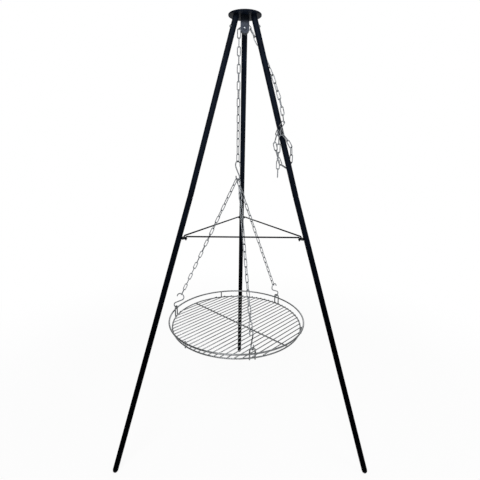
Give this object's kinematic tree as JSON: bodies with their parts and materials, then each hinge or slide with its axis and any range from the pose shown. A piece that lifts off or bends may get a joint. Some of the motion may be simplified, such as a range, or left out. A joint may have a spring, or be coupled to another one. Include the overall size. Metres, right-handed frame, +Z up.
{
  "type": "campfire tripod grill",
  "caption": "Three-legged campfire stand with a round wire grate hung on chains from a pulley, height set by a chain tied to one leg.",
  "frame": {"origin": "middle of the footprint's box, on the ground", "axes": "+Z up, +Y towards the rear leg, +X to the right of someone who faces the grill"},
  "size_m": [1.0552, 0.9167, 1.7745],
  "materials": {
    "black_powder_coat": "satin powder coat",
    "grey_powder_coat": "satin powder coat",
    "zinc_plated_steel": "bright zinc plating",
    "stainless_wire": "drawn wire, half bright",
    "black_plastic": "moulded, matt"
  },
  "bodies": {
    "stand": {"top_plate": "black_powder_coat", "head_stub_rear": "black_powder_coat", "head_stub_left": "black_powder_coat", "head_stub_right": "black_powder_coat", "leg_upper_rear": "black_powder_coat", "leg_upper_left": "black_powder_coat", "leg_upper_right": "black_powder_coat", "leg_lower_rear": "black_powder_coat", "leg_lower_left": "black_powder_coat", "leg_lower_right": "black_powder_coat", "lock_screw_rear": "zinc_plated_steel", "lock_screw_left": "zinc_plated_steel", "lock_screw_right": "zinc_plated_steel", "foot_plug_rear": "black_plastic", "foot_plug_left": "black_plastic", "foot_plug_right": "black_plastic", "spreader_lug_rear": "black_powder_coat", "spreader_lug_left": "black_powder_coat", "spreader_lug_right": "black_powder_coat", "spreader_rod_left": "black_powder_coat", "spreader_rod_front": "black_powder_coat", "spreader_rod_right": "black_powder_coat", "pulley_bracket": "grey_powder_coat", "pulley_axle": "zinc_plated_steel", "axle_nut": "zinc_plated_steel", "chain_peg": "black_powder_coat", "free_chain": "zinc_plated_steel", "spare_loop": "zinc_plated_steel"},
    "sheave": {"pulley_wheel": "zinc_plated_steel"},
    "upper_link": {"top_link": "zinc_plated_steel"},
    "lower_link": {"second_link": "zinc_plated_steel"},
    "hoist_run": {"hoist_chain": "zinc_plated_steel"},
    "hanging_gear": {"main_hook": "zinc_plated_steel", "hanger_chain_right": "zinc_plated_steel", "hanger_chain_left": "zinc_plated_steel", "hanger_chain_front": "zinc_plated_steel", "grate_hook_right": "zinc_plated_steel", "grate_hook_left": "zinc_plated_steel", "grate_hook_front": "zinc_plated_steel", "hanging_loop_right": "stainless_wire", "hanging_loop_left": "stainless_wire", "hanging_loop_front": "stainless_wire", "rim_spacer_right": "stainless_wire", "rim_spacer_left": "stainless_wire", "rim_spacer_front": "stainless_wire", "grate_rim": "stainless_wire", "grate_grid": "stainless_wire"},
    "chain_end": {"spare_end": "zinc_plated_steel"}
  },
  "joints": [
    {"name": "swing_fore", "type": "hinge", "parent": "stand", "child": "upper_link", "pos_m": [-0.02121, -0.14907, 1.726], "axis": [1, 0, 0], "range_deg": [-1.5, 0.3]},
    {"name": "swing_side", "type": "hinge", "parent": "upper_link", "child": "lower_link", "pos_m": [-0.02121, -0.14907, 1.696], "axis": [0, 1, 0], "range_deg": [-2.5, 0.25]},
    {"name": "hoist", "type": "slide", "parent": "lower_link", "child": "hoist_run", "axis": [0, 0, 1], "range_m": [-0.24, 0], "deforming": ["hoist_chain"]},
    {"name": "grate_turn", "type": "hinge", "parent": "hoist_run", "child": "hanging_gear", "pos_m": [-0.02121, -0.14907, 1.246], "axis": [0, 0, 1], "range_deg": [-180, 180]},
    {"name": "sheave_spin", "type": "hinge", "parent": "stand", "child": "sheave", "pos_m": [0, -0.14907, 1.726], "axis": [0, 1, 0], "range_deg": [-649, 1]},
    {"name": "spare_end_swing", "type": "hinge", "parent": "stand", "child": "chain_end", "pos_m": [0.12895, -0.26258, 1.374], "axis": [-0.1736, -0.9848, 0], "range_deg": [-4, 6]}
  ],
  "couplings": [
    {"joint": "sheave_spin", "follows": "hoist", "rad_per_m": 47.141}
  ]
}
